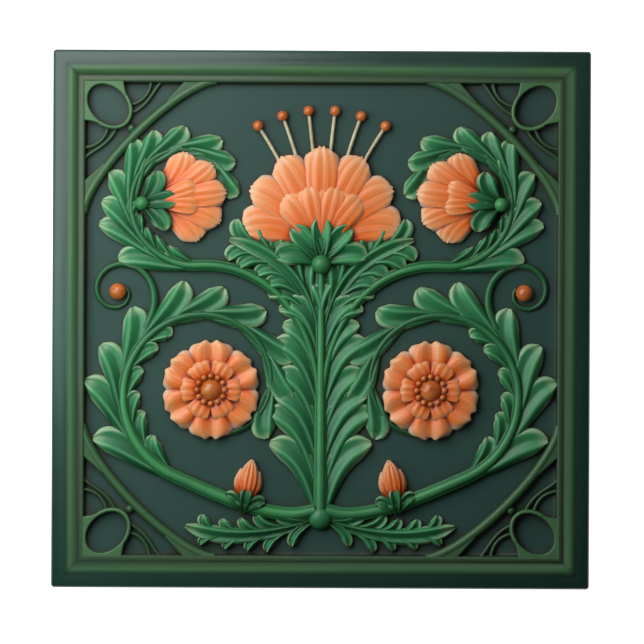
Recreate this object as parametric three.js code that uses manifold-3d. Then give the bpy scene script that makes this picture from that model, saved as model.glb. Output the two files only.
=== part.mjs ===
// A square relief tile, lying face up: one pressed and glazed earthenware body. A moulded frame
// surrounds a sunk field, the field's corners hold open tracery, and a mirrored ornament of
// acanthus scrolls and blossoms stands on it. Millimetres, +Z up, origin under the middle of the
// back, +Y towards the top of the ornament.
import * as THREE from "three";
import { mergeVertices } from "three/addons/utils/BufferGeometryUtils.js";
import Module from "manifold-3d";

const wasm = await Module();
wasm.setup();

// The slab and its frame. Rises are heights above the sunk field.
const tileSide = 152;
const bodyThickness = 6.5; // from the back to the field
const planCornerRadius = 1.2;
const arrisRadius = 0.9; // round outer edge of the face
const footChamfer = 0.6;
const marginWidth = 3.5;
const mouldingWidth = 3.9;
const filletWidth = 2.2;
const marginRise = 2.5;
const marginFall = 0.8; // how far the margin rounds down towards the outer edge
const mouldingRise = 3.2;
const mouldingCrest = 0.46; // how far over its width the moulding is highest
const filletRise = 2.9;
const filletRound = 0.6;
const quirkDepth = 0.4; // groove between the moulding and the fillet
const wallDraft = 0.4; // lean of the fillet's face over the field
const fieldCove = 0.5; // radius in the angle where that face meets the field

// Keying grooves in the back
const keyGrooves = 6;
const keyBorder = 11;
const keyLand = 9;
const keyDepth = 1;

// Corner tracery, measured from the fillet's inner corner along both of its sides
const braceLine = [[-1, 36.5], [0.3, 25.2], [25.2, 0.3], [36.5, -1]];
const braceHalfWidth = 1.35;
const braceRise = 2.6;
// The web fills the angle between the brace and the fillet
const braceWeb = [[-1.3, 34], [1.05, 30.6], [3.8, 26.05], [5.5, 23.7], [4.9, 23.1], [-1.3, 28.7]];
const braceWebRise = 2.3;
const eyeSetback = 6.1;
const eyeLength = 13.2;
const eyeWidth = 9.9;
const eyeRim = 1;
const webReach = 10.4;
const webRise = 2.75;
const innerTendril = [[18.2, -0.9], [17.8, 3.2], [15.6, 5.4], [12, 6.1]];
const outerTendril = [[21.6, -0.9], [19.2, 0.6], [18, 6.2], [12.3, 8.5]];
const tendrilHalfWidth = 0.5;
const tendrilRise = 1.5;
const cornerBeadSetback = 12.6;
const cornerBeadRadius = 1.3;

// Stems, leaf fingers and petals
const buried = 0.8; // how far each form's foot goes into the slab
const stemHalfWidth = 1.6;
const stemRise = 2.6;
const fingerHalfWidth = 4;
const fingerSlimness = 0.18; // a short finger's half width for each unit of its length
const leafRibHalfWidth = 2.5;
const fingerRise = 2.9;
const petalRise = 4.4;
const rosetteRadius = 14;
const rosettePetals = 6;
const rosetteButton = 3.4;
const rosetteButtonRise = 5.2;
const crownLength = 29;
const crownPetals = 7;
const crownPetalHalfWidth = 5.6;
const crownSeat = { length: 12, halfWidth: 5, rise: 3.9 };
const bloomLength = 21;
const bloomPetals = 5;
const bloomPetalHalfWidth = 4.4;
const bloomSeat = { length: 9, halfWidth: 3.1, rise: 3.5 };
const budLength = 13;
const budPetals = 3;
const budPetalHalfWidth = 2.8;
const budSeat = { length: 2.4, halfWidth: 2.1, rise: 3.3 };
const crownKnop = { setback: 4.4, radius: 2.8, rise: 5.3 };
const bloomKnop = { setback: 3.2, radius: 2, rise: 4.9 };
const stamens = 6;
const stamenLength = 39;
const stamenPitch = 11; // degrees
const stamenHalfWidth = 0.5;
const stamenRise = 1.8;
const antherRadius = 1.5;
const berryRadius = 2.4;
const bossRadius = 3.6;

const half = tileSide / 2;
const fieldHalf = half - marginWidth - mouldingWidth - filletWidth;
const field = bodyThickness;

// The ornament is drawn on a field that measures drawnHalf from its middle to the fillet
const drawnHalf = 66.4;
const drawn = fieldHalf / drawnHalf;

// Closed geometry to solid and back

function solid(geometry) {
  geometry.deleteAttribute("normal");
  geometry.deleteAttribute("uv");
  const merged = mergeVertices(geometry, 1e-4);
  const corners = merged.index.array;
  const triVerts = [];
  for (let i = 0; i < corners.length; i += 3) {
    const [a, b, c] = corners.slice(i, i + 3);
    if (a !== b && b !== c && c !== a) triVerts.push(a, b, c);
  }
  const vertProperties = merged.getAttribute("position").array;
  return new wasm.Manifold(
    new wasm.Mesh({ numProp: 3, vertProperties, triVerts: new Uint32Array(triVerts) }),
  );
}

function geometryOf(manifold) {
  const { vertProperties, triVerts } = manifold.getMesh();
  const geometry = new THREE.BufferGeometry();
  geometry.setAttribute("position", new THREE.BufferAttribute(vertProperties, 3));
  geometry.setIndex(new THREE.BufferAttribute(triVerts, 1));
  geometry.computeVertexNormals();
  return geometry;
}

// The same forms and their mirror images on the other side of the ornament's middle line
function withTwins(forms) {
  const twins = forms.map((form) => {
    const twin = form.clone().scale(-1, 1, 1);
    const order = twin.index.array;
    for (let i = 0; i < order.length; i += 3) [order[i], order[i + 1]] = [order[i + 1], order[i]];
    return twin;
  });
  return [...forms, ...twins];
}

// Slab and frame

// Points of an arc about a centre, between two angles given in quarter turns
function arc(x, z, radius, from, to, steps) {
  const points = [];
  for (let i = 0; i <= steps; i++) {
    const a = ((from + ((to - from) * i) / steps) * Math.PI) / 2;
    points.push([x + radius * Math.cos(a), z + radius * Math.sin(a)]);
  }
  return points;
}

// Height of the margin so far in from the outer edge
function marginHeight(inwards) {
  return field + marginRise - marginFall * (1 - inwards / marginWidth) ** 1.6;
}

// A swelling between an outer and an inner foot that both lie lower than its crest
function moulding(outerX, outerZ, innerX, innerZ, crestZ, steps) {
  const points = [];
  const warp = Math.log(0.5) / Math.log(mouldingCrest);
  for (let i = 1; i < steps; i++) {
    const s = i / steps;
    const footZ = outerZ + (innerZ - outerZ) * s;
    const swell = Math.sin(Math.PI * s ** warp) ** 1.4;
    points.push([outerX + (innerX - outerX) * s, footZ + (crestZ - footZ) * swell]);
  }
  return points;
}

// Half section from the middle of the back, round the outside, to the middle of the field. Turned
// in four steps it is the square slab, and its frame is mitred at the corners.
function turnedSlab() {
  const marginZ = field + marginRise;
  const filletZ = field + filletRise;
  const quirkZ = filletZ - quirkDepth;
  const outer = half - marginWidth;
  const inner = outer - mouldingWidth;
  const filletCrest = fieldHalf + wallDraft + filletRound;
  const onMargin = [0.45, 0.65, 0.85].map((share) => share * marginWidth);
  const profile = [
    [0, 0],
    [half - footChamfer, 0],
    [half, footChamfer],
    ...arc(half - arrisRadius, marginHeight(arrisRadius) - arrisRadius, arrisRadius, 0, 1, 4),
    ...onMargin.map((inwards) => [half - inwards, marginHeight(inwards)]),
    [outer, marginZ],
    ...moulding(outer, marginZ, inner, quirkZ, field + mouldingRise, 8),
    [inner, quirkZ],
    [(inner + filletCrest) / 2, filletZ - quirkDepth * (1 - Math.SQRT1_2)],
    ...arc(filletCrest, filletZ - filletRound, filletRound, 1, 2, 3),
    ...arc(fieldHalf - fieldCove, field + fieldCove, fieldCove, 0, -1, 3),
    [0, field],
  ];
  const points = profile.map(([x, z]) => new THREE.Vector2(x * Math.SQRT2, z));
  return new THREE.LatheGeometry(points, 4, Math.PI / 4).rotateX(Math.PI / 2);
}

function roundedSquare(side, radius) {
  const toCentre = side / 2 - radius;
  const shape = new THREE.Shape();
  for (let i = 0; i < 4; i++) {
    const a = (i * Math.PI) / 2;
    const middle = a + Math.PI / 4;
    const x = toCentre * Math.SQRT2 * Math.cos(middle);
    const y = toCentre * Math.SQRT2 * Math.sin(middle);
    shape.absarc(x, y, radius, a, a + Math.PI / 2, false);
  }
  return shape;
}

function slab() {
  const outline = new THREE.ExtrudeGeometry(roundedSquare(tileSide, planCornerRadius), {
    depth: bodyThickness + mouldingRise + 2,
    bevelEnabled: false,
    curveSegments: 3,
  });
  let body = solid(turnedSlab()).intersect(solid(outline.translate(0, 0, -1)));
  const keyedSide = tileSide - 2 * keyBorder;
  const pitch = (keyedSide + keyLand) / keyGrooves;
  for (let i = 0; i < keyGrooves; i++) {
    const y = (i - (keyGrooves - 1) / 2) * pitch;
    const groove = new THREE.BoxGeometry(keyedSide, pitch - keyLand, 2 * keyDepth);
    body = body.subtract(solid(groove.translate(0, y, 0)));
  }
  return body;
}

// Curves of the drawing, flat, in its own units until they are made

const point = ([x, y]) => new THREE.Vector2(x * drawn, y * drawn);
const bezier = (points) => new THREE.CubicBezierCurve(...points.map(point));

// A spiral about a centre. Angles are in degrees, anticlockwise. The greater hold is, the longer
// it keeps its radius before it closes in.
class Volute extends THREE.Curve {
  constructor(centre, startRadius, endRadius, startAngle, turn, hold) {
    super();
    this.centre = point(centre);
    this.startRadius = startRadius * drawn;
    this.closing = (startRadius - endRadius) * drawn;
    this.startAngle = THREE.MathUtils.degToRad(startAngle);
    this.turn = THREE.MathUtils.degToRad(turn);
    this.hold = hold;
  }
  getPoint(t, target = new THREE.Vector2()) {
    const radius = this.startRadius - this.closing * t ** this.hold;
    const a = this.startAngle + this.turn * t;
    return target.set(this.centre.x + radius * Math.cos(a), this.centre.y + radius * Math.sin(a));
  }
}

// A straight line out of a point, from one distance to another, at an angle in degrees
function ray(foot, degrees, from, to) {
  const a = THREE.MathUtils.degToRad(degrees);
  const way = new THREE.Vector2(Math.cos(a), Math.sin(a)).multiplyScalar(drawn);
  const root = point(foot);
  return new THREE.LineCurve(
    root.clone().addScaledVector(way, from),
    root.clone().addScaledVector(way, to),
  );
}

// Out of a foot along a heading, and leaning over by an angle towards the tip, in degrees
function petalLine(foot, heading, lean, length) {
  const way = (degrees, reach) => {
    const a = THREE.MathUtils.degToRad(degrees);
    return [foot[0] + reach * Math.cos(a), foot[1] + reach * Math.sin(a)];
  };
  return bezier([
    foot,
    way(heading, 0.35 * length),
    way(heading, 0.72 * length),
    way(heading + lean, length),
  ]);
}

// A point beside a rib: so far along it, straight on past its end, and so far to its left
function beside(rib, along, aside) {
  const length = rib.getLength();
  const share = Math.min(along, length) / length;
  const past = Math.max(0, along - length);
  const ahead = rib.getTangentAt(share);
  const place = rib.getPointAt(share);
  place.x += ahead.x * past - ahead.y * aside;
  place.y += ahead.y * past + ahead.x * aside;
  return place;
}

// Relief forms. A cylinder with its axis along Y is laid along a flat curve: its X becomes the
// form's width and its Z the form's height, each by a law of the distance along the curve, 0 to 1.
// Three sides make a ridged leaf finger, and more make a rounder form.

function layAlong(curve, widthAt, riseAt, sides, steps) {
  const form = new THREE.CylinderGeometry(1, 1, 1, sides, steps);
  const place = form.getAttribute("position");
  for (let i = 0; i < place.count; i++) {
    const t = Math.min(1, Math.max(0, place.getY(i) + 0.5));
    const middle = curve.getPointAt(t);
    const ahead = curve.getTangentAt(t);
    const aside = -place.getX(i) * widthAt(t);
    const up = place.getZ(i);
    const z = field + (up > 0 ? up * riseAt(t) : up * buried);
    place.setXYZ(i, middle.x - ahead.y * aside, middle.y + ahead.x * aside, z);
  }
  return form;
}

const quarterSine = (s) => Math.sin((Math.min(1, s) * Math.PI) / 2);

// Half the width of a blade that swells from its root to its broadest place and rounds to its tip
const bladeWidth = (halfWidth, rootShare, broadest, tipShare) => (t) => {
  if (t <= broadest) return halfWidth * (rootShare + (1 - rootShare) * quarterSine(t / broadest));
  const s = (t - broadest) / (1 - broadest);
  return halfWidth * Math.max(tipShare, Math.sqrt(Math.max(0, 1 - s * s)));
};

// Height of a blade that climbs from its root and turns down at its tip
const bladeRise = (rise, rootShare, tipShare) => (t) =>
  rise * (t > 0.99 ? tipShare : rootShare + (1 - rootShare) * quarterSine(t / 0.75));

function stem(curve, from, to, steps) {
  const width = (t) => stemHalfWidth * (from + (to - from) * t);
  const rise = (t) => stemRise * (0.55 + (0.45 * width(t)) / stemHalfWidth);
  return layAlong(curve, width, rise, 6, steps);
}

function finger(curve, halfWidth, lift) {
  const width = bladeWidth(halfWidth, 0.34, 0.75, 0.26);
  return layAlong(curve, width, bladeRise(fingerRise * lift, 0.55, 0.6), 3, 3);
}

function petal(line, halfWidth, rise) {
  const width = bladeWidth(halfWidth, 0.3, 0.75, 0.5);
  return layAlong(line, width, bladeRise(rise, 0.7, 0.66), 6, 3);
}

// The swollen end of a stem, on which a flower sits
function seat({ foot, heading }, { length, halfWidth, rise }) {
  const swell = (t) => 0.5 + 0.5 * t * t;
  const line = ray(foot, heading, -length, halfWidth / 2);
  return layAlong(line, (t) => halfWidth * swell(t), (t) => rise * swell(t), 6, 2);
}

function bead(centre, radius, rise) {
  const { x, y } = point(centre);
  return new THREE.SphereGeometry(radius, 8, 4).translate(x, y, field + rise - radius);
}

// The round swelling that a flower's sepals spring from
function knop({ foot, heading }, { setback, radius, rise }) {
  const angle = THREE.MathUtils.degToRad(heading);
  const centre = [foot[0] - setback * Math.cos(angle), foot[1] - setback * Math.sin(angle)];
  return bead(centre, radius, rise);
}

// Fingers that spring from a rib, sweep along it and turn out to its left (hand 1) or right (-1).
// from and to are shares of the rib's length, and each finger is shorter than the last by fade.
function fingers(rib, { hand, count, from, to, reach, spread, fade }) {
  const forms = [];
  const halfWidth = Math.min(fingerHalfWidth, fingerSlimness * reach * drawn);
  for (let i = 0; i < count; i++) {
    const share = i / (count - 1);
    const at = (from + (to - from) * share) * rib.getLength();
    const longer = i % 3 === 1 ? 1.12 : 1;
    const length = reach * drawn * (1 - fade * share) * longer;
    const path = new THREE.CubicBezierCurve(
      beside(rib, at, 0),
      beside(rib, at + 0.36 * length, 0.07 * length * hand),
      beside(rib, at + 0.8 * length, 0.14 * length * hand),
      beside(rib, at + 0.85 * length, (spread + 0.05) * length * hand),
    );
    forms.push(finger(path, halfWidth * (1 - 0.35 * fade * share), i % 2 ? 0.9 : 1));
  }
  return forms;
}

function leafPair(rib, { pairs, left, right, to }) {
  const both = { count: pairs, from: 0, to, spread: 0.5, fade: 0.3 };
  return [
    ...fingers(rib, { ...both, hand: 1, reach: left }),
    ...fingers(rib, { ...both, hand: -1, reach: right }),
  ];
}

// A whole acanthus leaf: fingers down both sides of a rib that is itself a longer finger
function acanthus(leaf) {
  const rib = bezier(leaf.spine);
  return [...leafPair(rib, leaf), finger(rib, leafRibHalfWidth, 1.15)];
}

// An open flower seen from the front, with a round button
function rosette(centre) {
  const forms = [];
  const halfWidth = 0.9 * rosetteRadius * Math.sin(Math.PI / rosettePetals);
  for (let i = 0; i < rosettePetals; i++) {
    const line = ray(centre, 90 + (i * 360) / rosettePetals, 0.1 * rosetteRadius, rosetteRadius);
    forms.push(petal(line, halfWidth, 0.84 * petalRise));
  }
  forms.push(bead(centre, rosetteButton, rosetteButtonRise));
  return forms;
}

// A flower seen from the side: petals spread from its foot, and the middle one stands highest
function sideFlower({ foot, heading, spread, count, length, halfWidth }) {
  const forms = [];
  for (let i = 0; i < count; i++) {
    const s = (2 * i) / (count - 1) - 1;
    const turn = s * spread;
    const line = petalLine(foot, heading + 0.78 * turn, 0.3 * turn, length * (1 - 0.2 * s * s));
    forms.push(petal(line, halfWidth, petalRise * (1 - 0.3 * Math.abs(s))));
  }
  return forms;
}

function stamenFan(foot) {
  const forms = [];
  for (let i = 0; i < stamens; i++) {
    const angle = 90 + (i - (stamens - 1) / 2) * stamenPitch;
    const line = ray(foot, angle, crownLength / 2, stamenLength);
    forms.push(layAlong(line, () => stamenHalfWidth, () => stamenRise, 4, 1));
    const tip = line.v2.divideScalar(drawn);
    forms.push(bead([tip.x, tip.y], antherRadius, 2 * antherRadius));
  }
  return forms;
}

// The drawing. Its right half is stated, and the left half mirrors it.

const stemFoot = [0, -56];
const lowerCentre = [31, -20];
const lowerVolute = new Volute(lowerCentre, 26.5, 11, -66, 350, 1.3);
const upperVolute = new Volute([37, 35], 20, 6.5, -95, 300, 1.2);
const tendrilEye = [57.4, 7.6];
const sideTendril = new Volute(tendrilEye, 13, 2.6, 232, -440, 0.6);
const middleStem = bezier([[0, -56], [0, -40], [0, -10], [0, 22]]);
const lowerStem = bezier([[1.5, -54], [12, -58], [30.8, -49.1], [41.8, -44.2]]);
const upperStem = bezier([[0.4, -24], [1.5, 5], [19, 16.5], [35.3, 15.1]]);
const bloomStalk = bezier([[53, 26], [54.6, 30.6], [53, 33.4], [47.5, 33]]);

const lowerSheath = { hand: -1, count: 10, from: 0, to: 0.78, reach: 22.5, spread: 0.42, fade: 0.4 };
const lowerLining = { hand: 1, count: 6, from: 0, to: 0.36, reach: 15, spread: 0.3, fade: 0.3 };
const upperSheath = { hand: -1, count: 10, from: 0, to: 0.8, reach: 20, spread: 0.4, fade: 0.4 };
const footLeaf = {
  spine: [[2, -57], [12, -61], [26, -63.5], [38, -58.5]],
  pairs: 5,
  left: 11,
  right: 9,
  to: 0.7,
};
const sideLeaf = {
  spine: [[1, -6], [3, 10], [12, 19], [26, 22.5]],
  pairs: 6,
  left: 16,
  right: 15,
  to: 0.75,
};
const middleRib = bezier([[0, -57], [0, -44], [0, -24], [0, -2]]);
const middleLeaf = { pairs: 7, left: 26, right: 26, to: 0.85 };
const leafForms = [
  ...fingers(lowerVolute, lowerSheath),
  ...fingers(lowerVolute, lowerLining),
  ...fingers(upperVolute, upperSheath),
  ...acanthus(footLeaf),
  ...acanthus(sideLeaf),
];
const crown = {
  foot: [0, 20],
  heading: 90,
  spread: 70,
  count: crownPetals,
  length: crownLength,
  halfWidth: crownPetalHalfWidth,
};
const bloom = {
  foot: [47.5, 33],
  heading: 172,
  spread: 46,
  count: bloomPetals,
  length: bloomLength,
  halfWidth: bloomPetalHalfWidth,
};
const bud = {
  foot: [21.5, -52.5],
  heading: 100,
  spread: 13,
  count: budPetals,
  length: budLength,
  halfWidth: budPetalHalfWidth,
};

const stemForms = [
  stem(lowerStem, 1.25, 1.2, 5),
  stem(lowerVolute, 1.2, 0.5, 16),
  stem(upperStem, 0.9, 1, 7),
  stem(upperVolute, 1, 0.45, 12),
  stem(bloomStalk, 0.55, 1.1, 3),
  stem(sideTendril, 0.8, 0.34, 12),
  seat(bloom, bloomSeat),
  seat(bud, budSeat),
  knop(bloom, bloomKnop),
];

function ornament() {
  return [
    ...withTwins(stemForms),
    ...withTwins(leafForms),
    stem(middleStem, 1.25, 0.9, 3),
    seat(crown, crownSeat),
    knop(crown, crownKnop),
    ...leafPair(middleRib, middleLeaf),
    ...withTwins(rosette(lowerCentre)),
    ...withTwins(sideFlower(bloom)),
    ...withTwins(sideFlower(bud)),
    ...withTwins([bead(tendrilEye, berryRadius, 1.4 * berryRadius)]),
    ...stamenFan(crown.foot),
    ...sideFlower(crown),
    bead(stemFoot, bossRadius, 1.1 * bossRadius),
  ];
}

// Corner tracery, drawn for the corner between +X and +Y and turned to the other three

function inward(u, v) {
  return new THREE.Vector2(fieldHalf - u, fieldHalf - v);
}

// A plate that fills the corner, with webs that run into the rim of an oval opening
function eyePlate() {
  const intoFillet = wallDraft + filletRound + 0.1;
  const centre = inward(eyeSetback, eyeSetback);
  const diagonal = Math.PI / 4;
  const [webStart, webEnd] = [110, 250].map(THREE.MathUtils.degToRad);
  const rimLength = eyeLength / 2 + eyeRim;
  const rimWidth = eyeWidth / 2 + eyeRim;
  const rim = new THREE.EllipseCurve(
    centre.x, centre.y, rimLength, rimWidth, webStart, webEnd, false, diagonal,
  );
  const rimPoints = rim.getPoints(12);
  const bend = inward(webReach + 0.4, webReach * 0.3);
  const [from, to] = [rimPoints[0], rimPoints[rimPoints.length - 1]];
  const corner = inward(-intoFillet, -intoFillet);
  const webTop = inward(webReach, -intoFillet);

  const shape = new THREE.Shape();
  shape.moveTo(corner.x, corner.y);
  shape.lineTo(webTop.x, webTop.y);
  shape.quadraticCurveTo(bend.x, bend.y, from.x, from.y);
  rimPoints.slice(1).forEach((p) => shape.lineTo(p.x, p.y));
  shape.quadraticCurveTo(bend.y, bend.x, webTop.y, webTop.x);
  const opening = new THREE.Path();
  opening.absellipse(
    centre.x, centre.y, eyeLength / 2, eyeWidth / 2, 0, 2 * Math.PI, true, diagonal,
  );
  shape.holes.push(opening);
  const plate = new THREE.ExtrudeGeometry(shape, {
    depth: buried + webRise,
    bevelEnabled: false,
    curveSegments: 9,
  });
  return plate.translate(0, 0, field - buried);
}

// The same places on both sides of the corner
const bothSides = (places) => [places, places.map(([u, v]) => [v, u])];

// Thin tendrils that spring from the fillet and end on the eye's rim
function cornerTendrils() {
  return [...bothSides(innerTendril), ...bothSides(outerTendril)].map((places) => {
    const curve = new THREE.CubicBezierCurve(...places.map(([u, v]) => inward(u, v)));
    return layAlong(curve, () => tendrilHalfWidth, () => tendrilRise, 4, 4);
  });
}

function braceWebs() {
  return bothSides(braceWeb).map((places) => {
    const shape = new THREE.Shape(places.map(([u, v]) => inward(u, v)));
    const web = new THREE.ExtrudeGeometry(shape, { depth: buried + braceWebRise, bevelEnabled: false });
    return web.translate(0, 0, field - buried);
  });
}

function cornerForms() {
  const brace = new THREE.CubicBezierCurve(...braceLine.map(([u, v]) => inward(u, v)));
  const beadPlace = inward(cornerBeadSetback, cornerBeadSetback).divideScalar(drawn);
  return [
    eyePlate(),
    layAlong(brace, () => braceHalfWidth, () => braceRise, 6, 12),
    ...braceWebs(),
    bead([beadPlace.x, beadPlace.y], cornerBeadRadius, 1.5 * cornerBeadRadius),
    ...cornerTendrils(),
  ];
}

function tile() {
  const forms = ornament();
  for (const form of cornerForms())
    for (let i = 0; i < 4; i++) forms.push(form.clone().rotateZ((i * Math.PI) / 2));
  return forms.reduce((body, form) => body.add(solid(form)), slab());
}

const glaze = new THREE.MeshStandardMaterial({ color: 0x2f6b46, roughness: 0.15, metalness: 0 });
const mesh = new THREE.Mesh(geometryOf(tile()), glaze);
mesh.name = "tile";

const part = new THREE.Group();
part.add(mesh);
export default part;
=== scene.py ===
# The finish of a square relief tile: one pressed earthenware body under coloured majolica
# glazes. The model's solid gives its place and size, and the pieces here give the body, the
# corner tracery, the scrolls, the leaves and the blossoms their real surfaces.
# Everything is modelled in millimetres over the middle of the tile's back and is turned to
# metres when it is finished.
import bisect
import math

import bmesh
import bpy
from mathutils import Euler, Matrix, Vector
from mathutils.geometry import interpolate_bezier


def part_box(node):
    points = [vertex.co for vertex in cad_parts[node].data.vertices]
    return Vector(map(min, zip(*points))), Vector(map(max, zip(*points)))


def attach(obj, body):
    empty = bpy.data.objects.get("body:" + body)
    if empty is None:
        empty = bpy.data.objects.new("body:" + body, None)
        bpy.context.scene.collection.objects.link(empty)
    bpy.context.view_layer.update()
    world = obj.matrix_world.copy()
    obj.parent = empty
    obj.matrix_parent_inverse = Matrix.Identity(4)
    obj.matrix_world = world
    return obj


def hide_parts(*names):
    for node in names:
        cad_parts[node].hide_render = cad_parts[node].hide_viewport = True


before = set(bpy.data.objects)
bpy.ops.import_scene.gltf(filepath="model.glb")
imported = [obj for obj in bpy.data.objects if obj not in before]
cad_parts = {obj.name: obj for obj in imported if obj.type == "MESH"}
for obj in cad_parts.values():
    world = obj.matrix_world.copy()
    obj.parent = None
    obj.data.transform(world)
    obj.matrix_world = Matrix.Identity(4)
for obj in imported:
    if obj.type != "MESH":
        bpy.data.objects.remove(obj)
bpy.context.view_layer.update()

metres = 0.001  # in a millimetre
low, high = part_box("tile")
tile_side = (high[0] - low[0]) / metres
half = tile_side / 2

# The slab and its frame, as in the solid. Rises are heights above the sunk field.
field_height = 6.5
margin_width = 3.5
moulding_width = 3.9
fillet_width = 2.2
margin_rise = 2.5
margin_fall = 0.8  # how far the margin rounds down towards the outer edge
moulding_rise = 3.2
moulding_crest = 0.46  # how far over its width the moulding is highest
fillet_rise = 2.9
quirk_depth = 0.4
fillet_round = 0.6
field_cove = 0.5  # glaze gathers in the angle where the fillet drops to the field
wall_draft = 0.4
level_border = 2  # of the field inside its cove, so that the cove's rounding ends there
corner_radius = 0.9
foot_chamfer = 0.6
field_half = half - margin_width - moulding_width - fillet_width

# Keying grooves in the back
key_grooves = 6
key_border = 11
key_land = 9
key_depth = 1
key_round = 0.4

# Corner tracery, from the fillet's inner corner along both of its sides
brace_line = ((-1, 36.5), (0.3, 25.2), (25.2, 0.3), (36.5, -1))
brace_half_width = 1.35
brace_rise = 2.6
brace_web = ((-1.6, 34), (0.06, 32.7), (1.05, 30.6), (2.3, 28.4), (3.8, 26.05), (5.5, 23.7),
             (4.9, 23.1), (1.7, 26), (-1.6, 29))  # fills the angle between the brace and the fillet
brace_web_rise = 2.3
eye_setback = 6.1
eye_length = 13.2
eye_width = 9.9
eye_rim = 1
ring_proud = 0.1  # how far the eye's ring stands out of the plate
plate_edge_round = 0.45
plate_bedding = 0.8  # how deep a plate goes into the field
plate_lap = 0.4  # and how far into the fillet, past the roundings of both
web_reach = 10.4
web_rise = 2.75
inner_tendril = ((18.2, -0.9), (17.8, 3.2), (15.6, 5.4), (12, 6.1))
outer_tendril = ((21.6, -0.9), (19.2, 0.6), (18, 6.2), (12.3, 8.5))
tendril_half_width = 0.5
tendril_rise = 1.5
corner_bead_setback = 12.6
corner_bead_radius = 1.3

# Scrolls, leaf fingers and petals
stem_half_width = 1.6
stem_rise = 2.6
core_half_width = 1.15
reed_half_width = 0.62
reed_proud = 0.1  # how far a reed stands out past the stem's side
reed_offset = stem_half_width - reed_half_width + reed_proud
reed_rise = 1.75
finger_half_width = 4
finger_slimness = 0.18  # a short finger's half width for each unit of its length
leaf_rib_half_width = 2.5
finger_rise = 2.9
leaf_rib_rise = 1.15 * finger_rise
ridge_place = 0.27  # how far across a finger its ridge runs, and its hollow
hollow_place = 0.58
petal_rise = 4.4
rosette_radius = 14
rosette_petals = 6
inner_whorl = 0.64  # its radius, as a share of the outer one's
outer_whorl = 0.84  # its height, as a share of the inner one's, which lies over it
rosette_button = 3.4
rosette_button_rise = 5.2
heart_beads = 12
heart_bead_radius = 0.8
heart_bead_offset = 0.5  # from the button's edge out to a bead's middle
heart_bead_sink = 0.4  # from the petals' crests down to a bead's middle
stamens = 6
stamen_length = 39
stamen_pitch = math.radians(11)
stamen_half_width = 0.5
stamen_rise = 1.8
anther_radius = 1.5
berry_radius = 2.4
boss_radius = 3.6

# Flowers seen from the side: where their foot is, the way they face and how far they open to
# either side, in degrees, and their petals, of which front counts the shorter ones before them
crown = {"foot": (0, 20), "heading": 90, "spread": 70,
         "count": 7, "length": 29, "half_width": 5.6, "front": 4}
bloom = {"foot": (47.5, 33), "heading": 172, "spread": 46,
         "count": 5, "length": 21, "half_width": 4.4, "front": 2}
bud = {"foot": (21.5, -52.5), "heading": 100, "spread": 13,
       "count": 3, "length": 13, "half_width": 2.8, "front": 0}
crown_seat = {"length": 12, "half_width": 5, "rise": 3.9}
bloom_seat = {"length": 9, "half_width": 3.1, "rise": 3.5}
bud_seat = {"length": 2.4, "half_width": 2.1, "rise": 3.3}
crown_knop = {"setback": 4.4, "radius": 2.8, "rise": 5.3}
bloom_knop = {"setback": 3.2, "radius": 2, "rise": 4.9}
crown_sepals = {"spread": 66, "count": 5, "length": 13, "half_width": 3.6}
bloom_sepals = {"spread": 40, "count": 3, "length": 10, "half_width": 3}
bud_sepals = {"spread": 36, "count": 3, "length": 7, "half_width": 1.9}
sepal_lean = 18  # degrees that the outermost sepals lean out by at their tips

# Rows of leaf fingers: the side of the rib that they turn out to, 1 for left and -1 for right,
# the share of its length where the last one springs, and how much shorter that one is
lower_sheath = {"hand": -1, "count": 10, "end": 0.78, "reach": 22.5, "spread": 0.42, "fade": 0.4}
lower_lining = {"hand": 1, "count": 6, "end": 0.36, "reach": 15, "spread": 0.3, "fade": 0.3}
upper_sheath = {"hand": -1, "count": 10, "end": 0.8, "reach": 20, "spread": 0.4, "fade": 0.4}
upper_lining = {"hand": 1, "count": 4, "end": 0.24, "reach": 12, "spread": 0.24, "fade": 0.3}

# Whole leaves: the reach of their fingers to the left and right, and where the last ones spring
foot_leaf = {"pairs": 5, "left": 11, "right": 9, "end": 0.7}
side_leaf = {"pairs": 6, "left": 16, "right": 15, "end": 0.75}
middle_leaf = {"pairs": 7, "left": 26, "right": 26, "end": 0.85}

# The ornament is drawn on a field that measures drawn_half from its middle to the fillet
drawn_half = 66.4
drawn = field_half / drawn_half

margin_roughness = 0.38
inner_roughness = 0.56

hair = 0.01  # two places closer than this count as one


# Selecting and finishing


def choose(*pieces):
    """Selects these pieces alone. The last one is active."""
    bpy.ops.object.select_all(action="DESELECT")
    for piece in pieces:
        piece.select_set(True)
    bpy.context.view_layer.objects.active = pieces[-1]


def edit(piece):
    choose(piece)
    bpy.ops.object.mode_set(mode="EDIT")
    bpy.context.tool_settings.mesh_select_mode = (True, False, False)


def done():
    bpy.ops.object.mode_set(mode="OBJECT")


def bare_shape():
    """The mesh in edit mode with nothing on it selected."""
    shape = bmesh.from_edit_mesh(bpy.context.object.data)
    for part in (*shape.faces, *shape.edges, *shape.verts):
        part.select_set(False)
    return shape


def pick_points(test):
    """Selects the points of the mesh in edit mode that pass the test, and the faces between them."""
    shape = bare_shape()
    for point in shape.verts:
        if test(point.co):
            point.select_set(True)
    shape.select_flush_mode()
    bmesh.update_edit_mesh(bpy.context.object.data)


def pick_edges(test):
    """Selects the edges of the mesh in edit mode whose two ends pass the test."""
    shape = bare_shape()
    for edge in shape.edges:
        if test(edge.verts[0].co, edge.verts[1].co):
            edge.select_set(True)
    bmesh.update_edit_mesh(bpy.context.object.data)


def apply(piece, kind, **settings):
    """Adds a modifier with its settings and applies it."""
    choose(piece)
    modifier = piece.modifiers.new(kind.lower(), kind)
    for name, value in settings.items():
        setattr(modifier, name, value)
    bpy.ops.object.modifier_apply(modifier=modifier.name)


def copy_of(piece):
    twin = piece.copy()
    twin.data = piece.data.copy()
    bpy.context.scene.collection.objects.link(twin)
    return twin


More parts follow.
